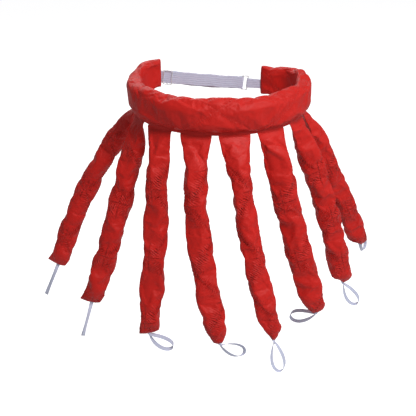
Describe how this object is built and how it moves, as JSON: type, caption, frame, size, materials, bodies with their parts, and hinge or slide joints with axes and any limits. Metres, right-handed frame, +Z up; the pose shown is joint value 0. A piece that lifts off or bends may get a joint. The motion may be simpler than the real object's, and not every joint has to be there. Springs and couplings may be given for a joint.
{
  "type": "octopus costume belt",
  "caption": "Padded horseshoe belt of quilted red cloth, worn round the waist, with stuffed octopus arms hanging from its edge, finger loops at their tips and an elastic back strap.",
  "frame": {"origin": "centre of the waist opening at half the height of the padded belt", "axes": "+Z up; -Y the front of the belt; +X to the right as seen from the front"},
  "size_m": [0.5919, 0.3142, 0.4289],
  "materials": {
    "red_quilted_cloth": "quilted satin-faced polyester",
    "red_binding": "woven polyester binding",
    "wadding": "lofted polyester fibre",
    "strap_elastic": "ribbed knitted elastic",
    "loop_elastic": "narrow braided elastic",
    "clear_plastic": "clear moulded plastic"
  },
  "bodies": {
    "belt": {"belt_outer_panel": "red_quilted_cloth", "belt_inner_panel": "red_quilted_cloth", "belt_wadding": "wadding", "arm_seam_tape": "red_binding", "strap_elastic": "strap_elastic", "strap_return": "strap_elastic", "strap_ring": "clear_plastic", "strap_tab": "strap_elastic"},
    "slider": {"strap_slider": "clear_plastic", "strap_end_loop": "strap_elastic"},
    "arm_1_upper": {"arm_1_upper_cover": "red_quilted_cloth", "arm_1_upper_wadding": "wadding"},
    "arm_1_lower": {"arm_1_lower_cover": "red_quilted_cloth", "arm_1_lower_wadding": "wadding"},
    "arm_1_loop": {"arm_1_loop": "loop_elastic"},
    "arm_2_upper": {"arm_2_upper_cover": "red_quilted_cloth", "arm_2_upper_wadding": "wadding"},
    "arm_2_lower": {"arm_2_lower_cover": "red_quilted_cloth", "arm_2_lower_wadding": "wadding"},
    "arm_2_loop": {"arm_2_loop": "loop_elastic"},
    "arm_3_upper": {"arm_3_upper_cover": "red_quilted_cloth", "arm_3_upper_wadding": "wadding"},
    "arm_3_lower": {"arm_3_lower_cover": "red_quilted_cloth", "arm_3_lower_wadding": "wadding"},
    "arm_3_loop": {"arm_3_loop": "loop_elastic"},
    "arm_4_upper": {"arm_4_upper_cover": "red_quilted_cloth", "arm_4_upper_wadding": "wadding"},
    "arm_4_lower": {"arm_4_lower_cover": "red_quilted_cloth", "arm_4_lower_wadding": "wadding"},
    "arm_4_loop": {"arm_4_loop": "loop_elastic"},
    "arm_5_upper": {"arm_5_upper_cover": "red_quilted_cloth", "arm_5_upper_wadding": "wadding"},
    "arm_5_lower": {"arm_5_lower_cover": "red_quilted_cloth", "arm_5_lower_wadding": "wadding"},
    "arm_5_loop": {"arm_5_loop": "loop_elastic"},
    "arm_6_upper": {"arm_6_upper_cover": "red_quilted_cloth", "arm_6_upper_wadding": "wadding"},
    "arm_6_lower": {"arm_6_lower_cover": "red_quilted_cloth", "arm_6_lower_wadding": "wadding"},
    "arm_6_loop": {"arm_6_loop": "loop_elastic"},
    "arm_7_upper": {"arm_7_upper_cover": "red_quilted_cloth", "arm_7_upper_wadding": "wadding"},
    "arm_7_lower": {"arm_7_lower_cover": "red_quilted_cloth", "arm_7_lower_wadding": "wadding"},
    "arm_7_loop": {"arm_7_loop": "loop_elastic"},
    "arm_8_upper": {"arm_8_upper_cover": "red_quilted_cloth", "arm_8_upper_wadding": "wadding"},
    "arm_8_lower": {"arm_8_lower_cover": "red_quilted_cloth", "arm_8_lower_wadding": "wadding"},
    "arm_8_loop": {"arm_8_loop": "loop_elastic"}
  },
  "joints": [
    {"name": "arm_1_swing", "type": "hinge", "parent": "belt", "child": "arm_1_upper", "pos_m": [-0.1284, 0.0232, -0.03181], "axis": [0.2047, 0.9788, 0], "range_deg": [-12, 50], "stiffness_Nm_per_rad": 0.05, "springref_deg": 15.99},
    {"name": "arm_1_bend", "type": "hinge", "parent": "arm_1_upper", "child": "arm_1_lower", "pos_m": [-0.21035, 0.02611, -0.17078], "axis": [0.1408, 0.9822, -0.124], "range_deg": [-15, 50], "stiffness_Nm_per_rad": 0.03, "springref_deg": 5.27},
    {"name": "arm_1_flick", "type": "hinge", "parent": "arm_1_lower", "child": "arm_1_loop", "pos_m": [-0.27787, 0.00909, -0.31327], "axis": [0.9138, 0, -0.4061], "range_deg": [-60, 60], "stiffness_Nm_per_rad": 0.0005, "springref_deg": -0.29},
    {"name": "arm_2_swing", "type": "hinge", "parent": "belt", "child": "arm_2_upper", "pos_m": [-0.12496, -0.03197, -0.0331], "axis": [-0.3059, 0.9521, 0], "range_deg": [-12, 60], "stiffness_Nm_per_rad": 0.05, "springref_deg": 9.05},
    {"name": "arm_2_bend", "type": "hinge", "parent": "arm_2_upper", "child": "arm_2_lower", "pos_m": [-0.15926, -0.05796, -0.18269], "axis": [-0.3209, 0.9458, -0.0498], "range_deg": [-15, 50], "stiffness_Nm_per_rad": 0.03, "springref_deg": 4.53},
    {"name": "arm_2_flick", "type": "hinge", "parent": "arm_2_lower", "child": "arm_2_loop", "pos_m": [-0.21358, -0.07799, -0.33607], "axis": [-0.9575, 0, 0.2883], "range_deg": [-60, 60], "stiffness_Nm_per_rad": 0.0005, "springref_deg": 0.52},
    {"name": "arm_3_swing", "type": "hinge", "parent": "belt", "child": "arm_3_upper", "pos_m": [-0.09351, -0.08058, -0.0331], "axis": [-0.7345, 0.6787, 0], "range_deg": [-12, 60], "stiffness_Nm_per_rad": 0.05, "springref_deg": 7.85},
    {"name": "arm_3_bend", "type": "hinge", "parent": "arm_3_upper", "child": "arm_3_lower", "pos_m": [-0.10361, -0.12274, -0.18479], "axis": [-0.749, 0.6519, -0.1182], "range_deg": [-15, 50], "stiffness_Nm_per_rad": 0.03, "springref_deg": 3.09},
    {"name": "arm_3_flick", "type": "hinge", "parent": "arm_3_lower", "child": "arm_3_loop", "pos_m": [-0.11694, -0.16322, -0.34032], "axis": [-0.242, 0.9396, 0.242], "range_deg": [-45, 60], "stiffness_Nm_per_rad": 0.0005, "springref_deg": -1.38},
    {"name": "arm_4_swing", "type": "hinge", "parent": "belt", "child": "arm_4_upper", "pos_m": [-0.04017, -0.11032, -0.0331], "axis": [-0.9604, 0.2785, 0], "range_deg": [-12, 60], "stiffness_Nm_per_rad": 0.05, "springref_deg": 7.96},
    {"name": "arm_4_bend", "type": "hinge", "parent": "arm_4_upper", "child": "arm_4_lower", "pos_m": [-0.03328, -0.15243, -0.1836], "axis": [-0.9576, 0.2339, -0.1685], "range_deg": [-15, 50], "stiffness_Nm_per_rad": 0.03, "springref_deg": 3.09},
    {"name": "arm_4_flick", "type": "hinge", "parent": "arm_4_lower", "child": "arm_4_loop", "pos_m": [-0.00813, -0.19874, -0.33792], "axis": [-0.5255, 0.8508, 0], "range_deg": [-30, 60], "stiffness_Nm_per_rad": 0.0005, "springref_deg": -1.72},
    {"name": "arm_5_swing", "type": "hinge", "parent": "belt", "child": "arm_5_upper", "pos_m": [0.01584, -0.11514, -0.0331], "axis": [-0.9941, -0.1089, 0], "range_deg": [-12, 60], "stiffness_Nm_per_rad": 0.05, "springref_deg": 9.11},
    {"name": "arm_5_bend", "type": "hinge", "parent": "arm_5_upper", "child": "arm_5_lower", "pos_m": [0.04323, -0.15728, -0.18264], "axis": [-0.9771, -0.1504, -0.1504], "range_deg": [-15, 50], "stiffness_Nm_per_rad": 0.03, "springref_deg": 3.38},
    {"name": "arm_5_flick", "type": "hinge", "parent": "arm_5_lower", "child": "arm_5_loop", "pos_m": [0.07491, -0.19603, -0.33597], "axis": [0, -1, 0], "range_deg": [-60, 60], "stiffness_Nm_per_rad": 0.0005, "springref_deg": 0.4},
    {"name": "arm_6_swing", "type": "hinge", "parent": "belt", "child": "arm_6_upper", "pos_m": [0.0708, -0.09729, -0.0331], "axis": [-0.8652, -0.5014, 0], "range_deg": [-12, 60], "stiffness_Nm_per_rad": 0.05, "springref_deg": 6.13},
    {"name": "arm_6_bend", "type": "hinge", "parent": "arm_6_upper", "child": "arm_6_lower", "pos_m": [0.11246, -0.10724, -0.18487], "axis": [-0.8311, -0.5237, -0.1873], "range_deg": [-15, 50], "stiffness_Nm_per_rad": 0.03, "springref_deg": 2.46},
    {"name": "arm_6_flick", "type": "hinge", "parent": "arm_6_lower", "child": "arm_6_loop", "pos_m": [0.15343, -0.11847, -0.34049], "axis": [-0.6954, -0.7186, 0], "range_deg": [-25, 60], "stiffness_Nm_per_rad": 0.0005, "springref_deg": -1.83},
    {"name": "arm_7_swing", "type": "hinge", "parent": "belt", "child": "arm_7_upper", "pos_m": [0.11478, -0.05446, -0.0331], "axis": [-0.5119, -0.8591, 0], "range_deg": [-12, 60], "stiffness_Nm_per_rad": 0.05, "springref_deg": 7.91},
    {"name": "arm_7_bend", "type": "hinge", "parent": "arm_7_upper", "child": "arm_7_lower", "pos_m": [0.1663, -0.04471, -0.18258], "axis": [-0.4575, -0.866, -0.2017], "range_deg": [-15, 50], "stiffness_Nm_per_rad": 0.03, "springref_deg": 2.98},
    {"name": "arm_7_flick", "type": "hinge", "parent": "arm_7_lower", "child": "arm_7_loop", "pos_m": [0.21358, -0.03612, -0.33586], "axis": [0, -0.9783, -0.2072], "range_deg": [-60, 60], "stiffness_Nm_per_rad": 0.0005, "springref_deg": 1.03},
    {"name": "arm_8_swing", "type": "hinge", "parent": "belt", "child": "arm_8_upper", "pos_m": [0.12998, -0.00202, -0.0331], "axis": [-0.0196, -0.9998, 0], "range_deg": [-12, 50], "stiffness_Nm_per_rad": 0.05, "springref_deg": 14.95},
    {"name": "arm_8_bend", "type": "hinge", "parent": "arm_8_upper", "child": "arm_8_lower", "pos_m": [0.20766, 0.02621, -0.17273], "axis": [0.0687, -0.9797, -0.1884], "range_deg": [-15, 50], "stiffness_Nm_per_rad": 0.03, "springref_deg": 4.7},
    {"name": "arm_8_flick", "type": "hinge", "parent": "arm_8_lower", "child": "arm_8_loop", "pos_m": [0.26312, 0.06171, -0.3159], "axis": [0.9076, -0.4198, 0], "range_deg": [-60, 35], "stiffness_Nm_per_rad": 0.0005, "springref_deg": 1.89},
    {"name": "slider_slide", "type": "slide", "parent": "belt", "child": "slider", "axis": [0.9947, 0.0314, -0.0979], "range_m": [0, 0.085], "deforming": ["strap_return"]}
  ]
}
